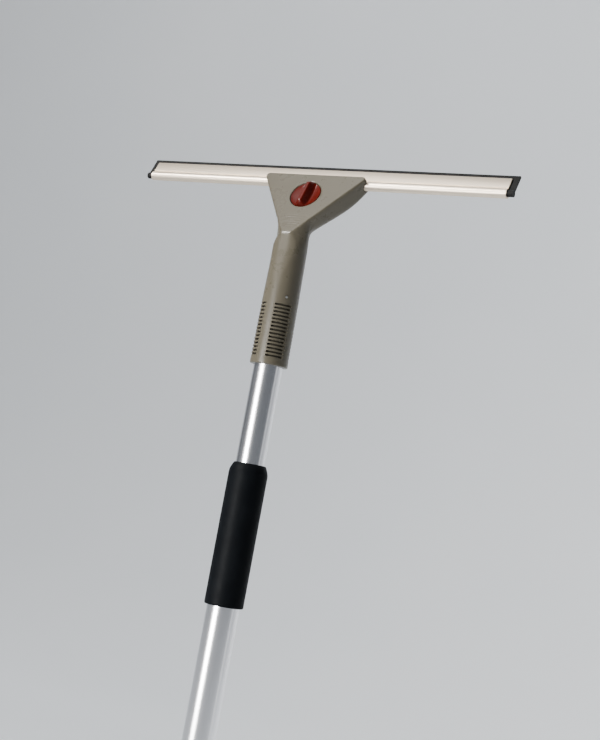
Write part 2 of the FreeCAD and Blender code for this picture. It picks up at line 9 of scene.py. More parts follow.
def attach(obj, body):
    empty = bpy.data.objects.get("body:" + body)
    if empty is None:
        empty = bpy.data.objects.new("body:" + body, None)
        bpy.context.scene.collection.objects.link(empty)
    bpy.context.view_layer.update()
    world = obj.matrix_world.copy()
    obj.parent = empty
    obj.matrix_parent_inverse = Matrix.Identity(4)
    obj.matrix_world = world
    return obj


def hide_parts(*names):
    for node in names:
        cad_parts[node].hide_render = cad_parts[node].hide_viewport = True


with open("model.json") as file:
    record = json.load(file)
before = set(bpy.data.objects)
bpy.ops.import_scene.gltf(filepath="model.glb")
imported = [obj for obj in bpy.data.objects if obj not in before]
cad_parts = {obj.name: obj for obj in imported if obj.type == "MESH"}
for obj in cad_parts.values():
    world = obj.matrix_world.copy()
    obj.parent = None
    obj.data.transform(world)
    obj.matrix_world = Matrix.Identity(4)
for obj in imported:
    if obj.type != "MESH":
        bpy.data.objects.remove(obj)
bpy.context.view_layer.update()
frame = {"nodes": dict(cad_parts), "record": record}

nodes = frame["nodes"]
MM = 0.001

# ---- dimensions in millimetres, in the row frame --------------------------------------------
# tubes and grip
INNER_TUBE_R, INNER_TUBE_BORE_R = 12.5, 11.3
TUBE_FOOT, TUBE_TOP = 183.0, 663.0
OUTER_TUBE_R, OUTER_TUBE_BORE_R, OUTER_TUBE_TOP = 14.0, 13.0, 500.0
GRIP_R, GRIP_BOTTOM, GRIP_TOP = 16.74, 389.0, 510.0
GRIP_GROOVE_R, GRIP_GROOVE_HEIGHT = 13.6, 2.0
GRIP_FOOT_R, GRIP_FOOT_ROUNDING = 15.54, 1.2
GRIP_RINGS, GRIP_RING_PITCH = 36, 3.0

# sleeve: height above its rim and radius
SLEEVE_Z = 595.0
SLEEVE_ROWS = ((0.0, 16.4), (22.0, 16.2), (45.0, 15.95), (60.0, 15.65), (78.0, 15.3))
NECK_R, NECK_Z = 15.1, 94.0
SOCKET_R, SOCKET_DEPTH = 12.55, 68.5
NECK_CORE_R, NECK_CORE_TOP = 11.0, 98.0
PIN_Z, PIN_ANGLE, PIN_HOLE_R = 59.0, 48.7, 1.27
# radius and distance from the pole's axis, from the pin's end inwards
PIN_DOME = ((0.15, 15.67), (0.6, 15.61), (0.95, 15.45), (1.18, 15.2), (1.25, 14.85))

# grooves: angles from the front in degrees, heights above the rim
GROOVE_START, GROOVE_END = 15.5, 73.0
GROOVE_FIRST, GROOVE_PITCH, GROOVES_PER_COLUMN = 7.4, 3.16, 15
GROOVE_HALF = 0.78
# radius, and share of the groove's half height there
GROOVE_WALLS = ((13.3, 0.88), (15.3, 1.0), (16.6, 1.08))
# radii between which painted shade darkens the moulding in the grooves' bottoms, and the heights where that
# fades out
GROOVE_DARK_R, GROOVE_PALE_R = 14.2, 14.9
GROOVE_DARK_TOP, GROOVE_PALE_TOP = 56.0, 58.0

# head: u runs up the face from the crease, depth runs back from the face
HEAD_LEAN = math.radians(27.57)
FACET_LEAN = math.radians(4.0)
CREASE = (-12.38, 114.62)
CREASE_SOFTNESS, CREASE_NEAR = 0.7, 2.2
FACE_LOW_U, FACE_HALF_LOW, FACE_FLARE = 11.4, 12.9, 0.703
HEAD_TOP_U = 67.2
CORNER_R = 2.4
# height up the face, depth to the back, squareness, how far the section stands proud of the face
HEAD_ROWS = (
    (12.0, 20.6, 2.3, 7.0),
    (20.0, 19.9, 2.9, 6.0),
    (28.0, 20.2, 3.8, 5.0),
    (36.0, 20.8, 4.6, 4.5),
    (44.0, 21.1, 5.2, 4.0),
    (52.0, 20.4, 5.6, 4.0),
    (60.0, 18.2, 6.0, 4.0),
    (68.0, 15.4, 6.0, 4.0),
)
FACE_EDGE_R, NECK_EDGE_GROWTH = 1.5, 3.0
BLEND_REACH, BLEND_SPAN = 6.0, 14.0
FLAT_FROM_U, FLAT_TO_U = -16.0, 14.0
FLARE_KEY, CREASE_KEY = 88.0, 104.0
RIB_LOW_U, RIB_HIGH_U, RIB_PITCH, RIB_RISE, RIB_FADE = 5.5, 21.0, 2.5, 0.1, 1.5

# seat for the channel, way for the shoe, and the hollow behind the face
SPINE_DEPTH, SPINE_U, SPINE_R, SPINE_BORE_R = 9.2, 64.9, 4.15, 3.05
SEAT_R = 4.5
MOUTH_HALF, MOUTH_EASED_HALF = 3.75, 4.9
WAY_HALF, WAY_HALF_DEPTH, WAY_LOW_U = 12.05, 2.55, 54.0
ROOM_FRONT, ROOM_BACK, CAVITY_TOP_U = 6.5, 17.9, 54.9

# back cover: height up the face and depth of its inside
COVER_LINE = ((16.0, 14.2), (20.0, 14.2), (29.0, 15.0), (38.0, 16.4), (47.0, 17.4), (60.0, 16.6))
COVER_INSET, COVER_GAP, COVER_LEDGE = 4.5, 0.15, 2.5
COVER_LOW_U, COVER_HIGH_U = 19.0, 55.5
COVER_SCREWS = ((-22.0, 49.0), (22.0, 49.0), (0.0, 24.5))
COVER_SCREW_R, COVER_SCREW_HEAD_R, COVER_SCREW_HEAD = 1.35, 2.85, 1.6

# knob
KNOB_U, KNOB_R = 43.9, 13.8
KNOB_POCKET_R, KNOB_POCKET_DEPTH, KNOB_SHAFT_HOLE_R = 14.15, 4.0, 5.05
KNOB_SINK, KNOB_DISH = 0.2, 1.9
RIDGE_RISE, RIDGE_FOOT_HALF, RIDGE_FLANK, RIDGE_END, RIDGE_END_RUN = 4.9, 6.0, 5.2, 9.2, 4.4

# blade
CHANNEL_HALF, LIP_HALF, LIP_GAP_HALF, LIP_TOP_U = 179.5, 2.6, 1.15, 79.85
SEAM_DEPTH = 0.42
RUBBER_HALF, RUBBER_TIP_U, RUBBER_WEB_HALF, RUBBER_BEAD_R = 185.0, 84.06, 1.05, 2.85

# points along one half of the handle's sections
CURVE_SAMPLES, FLAT_STEPS, EDGE_STEPS, BACK_STEPS = 1201, 12, 8, 44
FAR, BEHIND = 60.0, 40.0


# ---- small mesh tools -------------------------------------------------------------------------
def from_head(x, depth, u):
    """A point given across the blade, behind the face and up the face, in the row frame."""
    return (
        x,
        CREASE[0] + u * math.sin(HEAD_LEAN) + depth * math.cos(HEAD_LEAN),
        SLEEVE_Z + CREASE[1] + u * math.cos(HEAD_LEAN) - depth * math.sin(HEAD_LEAN),
    )


def face_half(u):
    """Half width of the face, or of the straight flare that it would have, at a height."""
    return FACE_HALF_LOW + FACE_FLARE * (u - FACE_LOW_U)


def make(name, points, faces, sharp=35.0):
    """A mesh object from points in millimetres, smooth except at edges sharper than an angle."""
    mesh = bpy.data.meshes.new(name)
    mesh.from_pydata([tuple(c * MM for c in p) for p in points], [], faces)
    mesh.validate()
    obj = bpy.data.objects.new(name, mesh)
    bpy.context.scene.collection.objects.link(obj)
    bm = bmesh.new()
    bm.from_mesh(mesh)
    bmesh.ops.recalc_face_normals(bm, faces=bm.faces)
    bm.to_mesh(mesh)
    bm.free()
    tidy(obj, sharp)
    return obj


def tidy(obj, sharp):
    """Joins coincident points, and smooths all but the sharp edges."""
    bm = bmesh.new()
    bm.from_mesh(obj.data)
    bmesh.ops.remove_doubles(bm, verts=bm.verts, dist=1e-7)
    bm.to_mesh(obj.data)
    bm.free()
    obj.data.polygons.foreach_set("use_smooth", [True] * len(obj.data.polygons))
    obj.data.set_sharp_from_angle(angle=math.radians(sharp))
    obj.data.update()


def skin(rings, close_ends=True):
    """Points and faces of a tube of equal rings; the ends are closed by fans."""
    count = len(rings[0])
    points = [p for ring in rings for p in ring]
    faces = []
    for i in range(len(rings) - 1):
        for j in range(count):
            k = (j + 1) % count
            faces.append((i * count + j, i * count + k, (i + 1) * count + k, (i + 1) * count + j))
    if close_ends:
        faces.append(tuple(range(count))[::-1])
        last = (len(rings) - 1) * count
        faces.append(tuple(range(last, last + count)))
    return points, faces


def lathe(name, outline, count=128, sharp=35.0, axis=None, closed=True):
    """Turns an outline of (radius, height) about the pole's axis, or about another that axis() places.

    A closed outline makes a ring; an open one is a solid whose two ends are flat.
    """
    rings = []
    for r, h in outline:
        ring = []
        for i in range(count):
            a = 2 * math.pi * i / count
            x, y = r * math.cos(a), r * math.sin(a)
            ring.append((x, y, h) if axis is None else axis(x, y, h))
        rings.append(ring)
    n = len(outline)
    points = [p for ring in rings for p in ring]
    faces = []
    for i in range(n if closed else n - 1):
        m = (i + 1) % n
        for j in range(count):
            k = (j + 1) % count
            faces.append((i * count + j, i * count + k, m * count + k, m * count + j))
    if not closed:
        faces.append(tuple(range(count))[::-1])
        faces.append(tuple(range((n - 1) * count, n * count)))
    return make(name, points, faces, sharp)


def knob_axis(x, y, h):
    """Round the knob's axis: h is the depth behind the face."""
    return from_head(x, h, KNOB_U + y)


def prism(name, outline, low, high, place):
    """Extrudes a closed outline between two values of the last coordinate that place() takes."""
    n = len(outline)
    points = [place(a, b, low) for a, b in outline] + [place(a, b, high) for a, b in outline]
    faces = [tuple(range(n))[::-1], tuple(range(n, 2 * n))]
    faces += [(i, (i + 1) % n, n + (i + 1) % n, n + i) for i in range(n)]
    return make(name, points, faces, 35.0)


def across(depth, u, x):
    """For a prism that runs along the blade."""
    return from_head(x, depth, u)


def square_to_face(x, u, depth):
    """For a prism that runs into the face."""
    return from_head(x, depth, u)


def arc(cx, cy, r, start, end, count):
    """Points of an arc in degrees, both ends included."""
    steps = [math.radians(start + (end - start) * i / count) for i in range(count + 1)]
    return [(cx + r * math.cos(a), cy + r * math.sin(a)) for a in steps]


def combine(obj, others, operation, sharp=35.0):
    """Applies an exact boolean with each tool in turn, and removes the tools."""
    for tool in others:
        cut = obj.modifiers.new("cut", "BOOLEAN")
        cut.operation = operation
        cut.solver = "EXACT"
        cut.object = tool
    graph = bpy.context.evaluated_depsgraph_get()
    mesh = bpy.data.meshes.new_from_object(obj.evaluated_get(graph))
    obj.modifiers.clear()
    old = obj.data
    obj.data = mesh
    bpy.data.meshes.remove(old)
    for tool in others:
        mesh = tool.data
        bpy.data.objects.remove(tool)
        bpy.data.meshes.remove(mesh)
    tidy(obj, sharp)
    return obj


def duplicate(obj, name):
    """A second object with its own copy of the mesh."""
    other = obj.copy()
    other.data = obj.data.copy()
    other.name = name
    bpy.context.scene.collection.objects.link(other)
    return other


def smooth_step(t):
    """From 0 to 1 with no slope at either end."""
    t = min(max(t, 0.0), 1.0)
    return t * t * (3 - 2 * t)


# ---- the handle's outside ----------------------------------------------------------------------
def head_row(u, depth, squareness, proud):
    """(y, z, lean, half width, half depth, squareness) of a cross-section of the head."""
    half_depth = (depth + proud) / 2
    centre = depth - half_depth
    share = (1 - (centre / half_depth) ** squareness) ** (1 / squareness)
    _, y, z = from_head(0, centre, u)
    return (y, z, HEAD_LEAN, face_half(u) / share, half_depth, squareness)


def spline(keys, values, at):
    """A smooth curve through rows of values (Catmull-Rom with uneven keys)."""
    keys = np.asarray(keys, float)
    values = np.asarray(values, float)
    slopes = np.gradient(values, keys, axis=0)
    i = int(np.clip(np.searchsorted(keys, at) - 1, 0, len(keys) - 2))
    h = keys[i + 1] - keys[i]
    t = (at - keys[i]) / h
    a = (2 * t**3 - 3 * t**2 + 1) * values[i] + (t**3 - 2 * t**2 + t) * h * slopes[i]
    b = (-2 * t**3 + 3 * t**2) * values[i + 1] + (t**3 - t**2) * h * slopes[i + 1]
    return a + b


def flat_distance(y, z, lean, normal_lean):
    """From a section's centre forward to a flat that passes through the crease."""
    dy, dz = y - CREASE[0], z - SLEEVE_Z - CREASE[1]
    behind = dy * math.cos(normal_lean) - dz * math.sin(normal_lean)
    return behind / math.cos(normal_lean - lean)


def soft_min(a, b, r):
    """The smaller of two numbers, rounded off where they are within r of each other."""
    h = max(r - abs(a - b), 0.0) / r
    return min(a, b) - h * h * r / 4


def squareness_for(a, h, k, wanted, low=1.2, high=8.0):
    """The squareness whose section has a flat of the wanted half width, at k of its half depth h."""
    n = low
    for _ in range(40):
        n = (low + high) / 2
        if a * (1 - (k / h) ** n) ** (1 / n) < wanted:
            low = n
        else:
            high = n
    return n


def section_ring(row, squeeze=0.0, narrow=1.0, ribs=0.0, flat_half=None, edge_r=FACE_EDGE_R):
    """One closed ring of the moulding: a flat front with rounded edges, and a superellipse behind.

    x and q are the ring's half width and how far it lies behind the section's centre.
    """
    y, z, lean, a, h, n = row
    a, h = a * narrow - squeeze, h - squeeze
    to_face, to_facet = flat_distance(y, z, lean, HEAD_LEAN), flat_distance(y, z, lean, FACET_LEAN)
    k = soft_min(to_face, to_facet, CREASE_SOFTNESS) - squeeze
    k = min(k, 0.9995 * h)
    front_n = n if flat_half is None else squareness_for(a, h, k, flat_half * narrow)
    phi = np.linspace(0, math.pi, CURVE_SAMPLES)
    sx, cx = np.sin(phi), np.cos(phi)
    power = 2 / np.where(cx > 0, front_n, n)
    x = a * np.abs(sx) ** power
    q = -h * np.sign(cx) * np.abs(cx) ** power
    behind = q > -k
    w = a * (1 - (k / h) ** front_n) ** (1 / front_n)
    x, q = np.r_[w, x[behind]], np.r_[-k, q[behind]]
    run = np.r_[0, np.cumsum(np.hypot(np.diff(x), np.diff(q)))]
    r = min(edge_r, 0.75 * w)
    after = np.array([np.interp(r, run, x), np.interp(r, run, q)])
    half = [(w - r) * i / FLAT_STEPS for i in range(FLAT_STEPS)]
    front = [(v, -k - ribs * max(0.0, 1 - (v / max(w - r, 0.1)) ** 6)) for v in half]
    before, corner = np.array([w - r, -k]), np.array([w, -k])
    for i in range(EDGE_STEPS):
        t = i / EDGE_STEPS
        p = (1 - t) ** 2 * before + 2 * t * (1 - t) * corner + t * t * after
        front.append((p[0], p[1]))
    for s in np.linspace(r, run[-1], BACK_STEPS):
        front.append((np.interp(s, run, x), np.interp(s, run, q)))
    front[-1] = (0.0, front[-1][1])
    loop = front + [(-px, pq) for px, pq in front[-2:0:-1]]
    cl, sl = math.cos(lean), math.sin(lean)
    return [(px, y + pq * cl, z - pq * sl) for px, pq in loop]


def handle_form(name):
    """The moulding's whole outside as one closed skin, from the sleeve's rim to the head's top."""
    rows = [(0.0, SLEEVE_Z + z, 0.0, r, r, 2.0) for z, r in SLEEVE_ROWS]
    neck = (0.0, SLEEVE_Z + NECK_Z, 0.0, NECK_R, NECK_R, 2.0)
    head = [head_row(*r) for r in HEAD_ROWS]
    rows.append(neck)
    for share in (0.25, 0.5, 0.75):
        rows.append(tuple(p + (q - p) * share for p, q in zip(neck, head[0])))
    rows += head
    keys = [0.0]
    for p, q in zip(rows, rows[1:]):
        keys.append(keys[-1] + math.hypot(q[0] - p[0], q[1] - p[1]))
    blend_key = keys[len(SLEEVE_ROWS) + 3]

    fine_keys = np.arange(0.0, keys[-1], 0.5)
    fine = np.array([spline(keys, rows, key) for key in fine_keys])

    def row_at(key):
        """The section at a key, averaged over its neighbours where the neck flares into the head."""
        reach = BLEND_REACH * math.exp(-(((key - blend_key) / BLEND_SPAN) ** 2)) + 0.2
        weight = np.exp(-(((fine_keys - key) / reach) ** 2))
        mean = (fine * weight[:, None]).sum(0) / weight.sum()
        shift = (fine_keys * weight).sum() / weight.sum() - key
        return mean if abs(shift) < 0.05 else spline(keys, rows, key)

    def height(key):
        """How far up the face the section at a key crosses it."""
        y, z, lean = row_at(key)[:3]
        k = flat_distance(y, z, lean, HEAD_LEAN)
        fy, fz = y - k * math.cos(lean) - CREASE[0], z + k * math.sin(lean) - SLEEVE_Z - CREASE[1]
        return fy * math.sin(HEAD_LEAN) + fz * math.cos(HEAD_LEAN)

    def key_for(u):
        """The key of the section that crosses the face at a height."""
        low, high = CREASE_KEY - 4.0, keys[-1]
        for _ in range(30):
            key = (low + high) / 2
            if height(key) < u:
                low = key
            else:
                high = key
        return key

    slant = math.atan(FACE_FLARE)
    centre_u = HEAD_TOP_U - CORNER_R
    centre_x = face_half(centre_u) - CORNER_R / math.cos(slant)

    def narrowing(u):
        """Share of the full width left at a height, where the head's top corners are rounded."""
        if u < centre_u - CORNER_R * math.sin(slant):
            return 1.0
        reach = math.sqrt(max(CORNER_R**2 - (u - centre_u) ** 2, 0.0))
        return (centre_x + reach) / face_half(u)

    def flat_at(key, u):
        """Half width of the flat just above and below the crease, where the outline runs straight."""
        if not FLAT_FROM_U < u < FLAT_TO_U:
            return None
        y, z, lean, a, h, n = row_at(key)
        k = min(flat_distance(y, z, lean, HEAD_LEAN), flat_distance(y, z, lean, FACET_LEAN))
        natural = a * max(1 - (min(k / h, 1.0)) ** n, 0.0) ** (1 / n)
        straight = face_half(max(u, 0.0))
        share = smooth_step((u + 12.0) / 12.0) if u < 0 else 1 - smooth_step((u - 11.0) / 3.0)
        return max(natural + (straight - natural) * share, 0.3)

    # heights round the corners, then rings that are close together at the crease and the ribs
    levels = [centre_u + CORNER_R * math.sin(math.radians(t)) for t in range(-36, 88, 6)]
    # keys are lengths along the sections' centres: every 2 mm up the sleeve, then every 1 mm
    stops = list(np.arange(2.0, FLARE_KEY, 2.0)) + list(np.arange(FLARE_KEY, CREASE_KEY, 1.0))
    level = height(CREASE_KEY)
    while level < levels[0] - 0.8:
        stops.append(key_for(level))
        near_crease = abs(level) < CREASE_NEAR
        near_ribs = RIB_LOW_U - 1 < level < RIB_HIGH_U + 1
        level += 0.28 if near_crease else 0.42 if near_ribs else 1.1
    stops += [key_for(u) for u in levels]
    rings = []
    # the rounded rim: how much the ring is drawn in, and its height
    for squeeze, rise in ((1.0, 0.0), (0.55, 0.08), (0.2, 0.32), (0.0, 0.9)):
        rings.append(section_ring(row_at(rise), squeeze))
    for key in stops:
        u = height(key)
        wave = 0.0
        if RIB_LOW_U < u < RIB_HIGH_U:
            fade = min((u - RIB_LOW_U) / RIB_FADE, (RIB_HIGH_U - u) / RIB_FADE, 1.0)
            wave = RIB_RISE * fade * (0.5 - 0.5 * math.cos(2 * math.pi * (u - RIB_LOW_U) / RIB_PITCH))
        edge_r = FACE_EDGE_R + NECK_EDGE_GROWTH * smooth_step(-u / 8.0)
        rings.append(section_ring(row_at(key), 0.0, narrowing(u), -wave, flat_at(key, u), edge_r))
    # the eased top edge
    for squeeze, u in ((0.08, HEAD_TOP_U - 0.02), (0.25, HEAD_TOP_U - 0.005), (0.7, HEAD_TOP_U)):
        rings.append(section_ring(row_at(key_for(u)), squeeze, narrowing(u)))
    points, faces = skin(rings)
    return make(name, points, faces, 40.0)


def groove_tools():
    """Cutters for the four columns of short grooves round the sleeve, with rounded ends."""
    points, faces = [], []
    middle = (GROOVE_START + GROOVE_END) / 2
    half = math.radians(GROOVE_END - GROOVE_START) / 2
    end = GROOVE_HALF / SLEEVE_ROWS[1][1]
    turns = (0.35, 0.7, 1.0, 1.25, 1.45)
    caps = [(half - end + end * math.sin(t), GROOVE_HALF * math.cos(t)) for t in turns]
    stations = [(-a, h) for a, h in caps[::-1]]
    stations += [(a, GROOVE_HALF) for a in np.linspace(end - half, half - end, 25)]
    stations += caps
    corners = [(r, -share) for r, share in GROOVE_WALLS] + [(r, share) for r, share in GROOVE_WALLS[::-1]]
    for level in range(GROOVES_PER_COLUMN):
        z = SLEEVE_Z + GROOVE_FIRST + level * GROOVE_PITCH
        for turn in (middle, -middle, 180 - middle, 180 + middle):
            rings = []
            for a, h in stations:
                c, s = math.cos(math.radians(turn - 90) + a), math.sin(math.radians(turn - 90) + a)
                rings.append([(r * c, r * s, z + h * share) for r, share in corners])
            more_points, more_faces = skin(rings)
            base = len(points)
            points += more_points
            faces += [tuple(base + i for i in f) for f in more_faces]
    return make("groove_tools", points, faces)


def cover_depth(u):
    """Depth of the back cover's inside at a height."""
    return float(np.interp(u, [r[0] for r in COVER_LINE], [r[1] for r in COVER_LINE]))


def behind_cover(name, inset, grow):
    """The room that the back cover fills, as a closed block."""
    low, high = COVER_LOW_U - grow, COVER_HIGH_U + grow
    line = [(d, u) for u, d in COVER_LINE if low < u < high]
    line = [(cover_depth(low), low)] + line + [(cover_depth(high), high)]
    rows = []
    for d, u in line:
        half = face_half(u) - inset
        corners = ((-half, d), (half, d), (half, BEHIND), (-half, BEHIND))
        rows.append([from_head(x, depth, u) for x, depth in corners])
    return make(name, *skin(rows))


def pin_ring(along, r, count=24):
    """A circle round the socket pin, at a distance from the pole's axis."""
    angle = math.radians(PIN_ANGLE)
    axis = Vector((math.sin(angle), -math.cos(angle), 0))
    side = Vector((math.cos(angle), math.sin(angle), 0))
    ring = []
    for i in range(count):
        a = 2 * math.pi * i / count
        lift = Vector((0, 0, SLEEVE_Z + PIN_Z + r * math.sin(a)))
        ring.append(tuple(axis * along + side * (r * math.cos(a)) + lift))
    return ring


def handle_tools():
    """Everything that is cut from the handle: grooves, socket, knob pocket, seat, way and hollow."""
    tools = [groove_tools()]
    socket = [(14.0, -1.0), (13.1, 0.0), (12.62, 0.45), (SOCKET_R, 1.2), (SOCKET_R, SOCKET_DEPTH),
              (NECK_CORE_R, SOCKET_DEPTH), (NECK_CORE_R, NECK_CORE_TOP)]
    tools.append(lathe("socket_tool", [(r, SLEEVE_Z + h) for r, h in socket], closed=False))
    rounding = ((2.0, -1.2), (0.95, -0.2), (0.5, 0.12), (0.16, 0.5), (0.0, 1.1), (0.0, KNOB_POCKET_DEPTH))
    pocket = [(KNOB_POCKET_R + out, depth) for out, depth in rounding]
    pocket += [(KNOB_SHAFT_HOLE_R, KNOB_POCKET_DEPTH), (KNOB_SHAFT_HOLE_R, 8.0)]
    tools.append(lathe("pocket_tool", pocket, axis=knob_axis, closed=False))
    seat = arc(SPINE_DEPTH, SPINE_U, SEAT_R, 0, 360, 64)[:-1]
    tools.append(prism("seat_tool", seat, -FAR, FAR, across))
    low, high = HEAD_TOP_U - 0.5, HEAD_TOP_U + 0.6
    mouth = [(SPINE_DEPTH - MOUTH_HALF, low), (SPINE_DEPTH + MOUTH_HALF, low),
             (SPINE_DEPTH + MOUTH_EASED_HALF, high), (SPINE_DEPTH - MOUTH_EASED_HALF, high)]
    tools.append(prism("mouth_tool", mouth, -FAR, FAR, across))
    # the seat's two ends open out towards the head's sides
    flare = ((-2.6, -0.02), (-1.8, 0.25), (-0.9, 0.75), (0.0, 1.4), (4.0, 5.4))
    for side in (-1, 1):
        end = face_half(SPINE_U) + 0.9
        rings = []
        for along, out in flare:
            loop = arc(SPINE_DEPTH, SPINE_U, SEAT_R + out, 0, 360, 64)[:-1]
            rings.append([from_head(side * (end + along), d, u) for d, u in loop])
        tools.append(make("seat_end_tool", *skin(rings)))
    way = [(-WAY_HALF, SPINE_U - 1), (WAY_HALF, SPINE_U - 1), (WAY_HALF, WAY_LOW_U), (-WAY_HALF, WAY_LOW_U)]
    front, back = SPINE_DEPTH - WAY_HALF_DEPTH, SPINE_DEPTH + WAY_HALF_DEPTH
    tools.append(prism("way_tool", way, front, back, square_to_face))
    low, high = COVER_LOW_U + COVER_LEDGE, CAVITY_TOP_U
    low_half = face_half(low) - COVER_INSET - COVER_LEDGE
    high_half = face_half(high) - COVER_INSET - COVER_LEDGE
    room = [(-low_half, low), (low_half, low), (high_half, high), (-high_half, high)]
    tools.append(prism("room_tool", room, ROOM_FRONT, ROOM_BACK, square_to_face))
    tools.append(behind_cover("lid_tool", COVER_INSET - COVER_GAP, COVER_GAP))
    tools.append(make("pin_tool", *skin([pin_ring(-17.0, PIN_HOLE_R), pin_ring(17.0, PIN_HOLE_R)])))
    return tools


def cover_screw_tools():
    """The three stepped holes in the back cover, with sunk heads."""
    tools = []
    for x, u in COVER_SCREWS:
        seat = cover_depth(u) + 1.2
        outline = [(COVER_SCREW_R, 5.0), (COVER_SCREW_R, seat), (COVER_SCREW_HEAD_R, seat),
                   (COVER_SCREW_HEAD_R, seat + COVER_SCREW_HEAD), (3.2, seat + 3.2), (3.4, BEHIND)]

        def place(a, b, h, x=x, u=u):
            return from_head(x + a, h, u + b)

        tools.append(lathe("screw_tool", outline, 48, axis=place, closed=False))
    return tools


def pin_mesh(name):
    """The socket pin, with a low dome on each end."""
    rings = [pin_ring(t, r) for r, t in PIN_DOME] + [pin_ring(-t, r) for r, t in PIN_DOME[::-1]]
    return make(name, *skin(rings))


# ---- knob ----------------------------------------------------------------------------------------
def knob_height(x, v):
    """Height of the knob's top above the face: a dish on each side of a rounded finger ridge."""
    rho = math.hypot(x, v) / KNOB_R
    dish = -KNOB_DISH * (1 - rho**2) ** 0.8 if rho < 1 else 0.0
    side = smooth_step((RIDGE_FOOT_HALF - abs(x)) / RIDGE_FLANK)
    end = 1.0 - min(max((abs(v) - RIDGE_END) / RIDGE_END_RUN, 0.0), 1.0) ** 2.2
    return dish + (RIDGE_RISE - dish) * side * math.sqrt(max(end, 0.0)) - KNOB_SINK


def knob_ring(r, depth_at, count=144):
    """A circle round the knob's axis, whose depth behind the face may vary along it."""
    ring = []
    for i in range(count):
        a = 2 * math.pi * i / count
        x, v = r * math.cos(a), r * math.sin(a)
        ring.append(from_head(x, depth_at(x, v), KNOB_U + v))
    return ring


def knob_mesh(name):
    """The knob: its shaped top, its rim, and the stepped shaft behind it."""
    radii = [0.15] + list(np.linspace(0.6, KNOB_R - 0.9, 44)) + [KNOB_R - 0.6, KNOB_R - 0.35]
    rings = [knob_ring(r, lambda x, v: -knob_height(x, v)) for r in radii]
    rim = [(KNOB_R - 0.12, 0.32), (KNOB_R, 0.7), (KNOB_R, 3.4), (KNOB_R - 0.4, 3.8)]
    shaft = [(5.0, 3.8), (5.0, 6.9), (2.0, 6.9), (2.0, 9.7), (1.2, 9.7)]
    for r, depth in rim + shaft:
        rings.append(knob_ring(r, lambda x, v: depth))
    return make(name, *skin(rings), 50.0)


# ---- blade ---------------------------------------------------------------------------------------
def along_blade(half, easing, count):
    """Stations along the blade, with one close to each end."""
    return [-half] + list(np.linspace(-half + easing, half - easing, count)) + [half]


def channel_mesh(name):
    """The extruded channel: a hollow round spine, and two lips with eased top edges."""
    front, back = SPINE_DEPTH - LIP_HALF, SPINE_DEPTH + LIP_HALF
    gap_front, gap_back = SPINE_DEPTH - LIP_GAP_HALF, SPINE_DEPTH + LIP_GAP_HALF
    meet = math.degrees(math.asin(math.sqrt(SPINE_R**2 - LIP_HALF**2) / SPINE_R))
    inner_meet = math.degrees(math.acos(LIP_GAP_HALF / SPINE_BORE_R))
    outline = arc(SPINE_DEPTH, SPINE_U, SPINE_R, 180 - meet - 2.5, 360 + meet + 2.5, 72)
    # a seam runs along each side, where the lips leave the spine
    seam_u = SPINE_U + SPINE_R * math.sin(math.radians(meet))
    deep_front, deep_back = front + SEAM_DEPTH, back - SEAM_DEPTH
    outline = [(front, seam_u + 1.0), (deep_front, seam_u + 0.8), (deep_front, seam_u + 0.4)] + outline
    outline += [(deep_back, seam_u + 0.4), (deep_back, seam_u + 0.8), (back, seam_u + 1.0)]
    easing = ((0.0, 0.75), (0.12, 0.45), (0.55, 0.04), (0.75, 0.0))
    outline += [(back - inwards, LIP_TOP_U - down) for inwards, down in easing]
    outline += [(gap_back + 0.15, LIP_TOP_U), (gap_back, LIP_TOP_U - 0.15)]
    outline += arc(SPINE_DEPTH, SPINE_U, SPINE_BORE_R, inner_meet, -180 - inner_meet, 56)
    outline += [(gap_front, LIP_TOP_U - 0.15), (gap_front - 0.15, LIP_TOP_U)]
    outline += [(front + inwards, LIP_TOP_U - down) for inwards, down in easing[::-1]]
    rings = []
    for x in along_blade(CHANNEL_HALF, 0.2, 19):
        rings.append([from_head(x, d, u) for d, u in outline])
    return make(name, *skin(rings), 30.0)


def rubber_mesh(name):
    """The blade rubber: a bead, a web, and a square working edge."""
    half, top, easing = RUBBER_WEB_HALF, RUBBER_TIP_U, 0.12
    meet = math.degrees(math.acos(half / RUBBER_BEAD_R))
    outline = arc(SPINE_DEPTH, SPINE_U, RUBBER_BEAD_R, 180 - meet, 360 + meet, 48)
    web = [(half, top - 3.0), (half, top - easing), (half - easing, top)]
    outline += [(SPINE_DEPTH + d, u) for d, u in web]
    outline += [(SPINE_DEPTH - d, u) for d, u in web[::-1]]
    rings = []
    for x in along_blade(RUBBER_HALF, 0.15, 21):
        rings.append([from_head(x, d, u) for d, u in outline])
    return make(name, *skin(rings), 30.0)


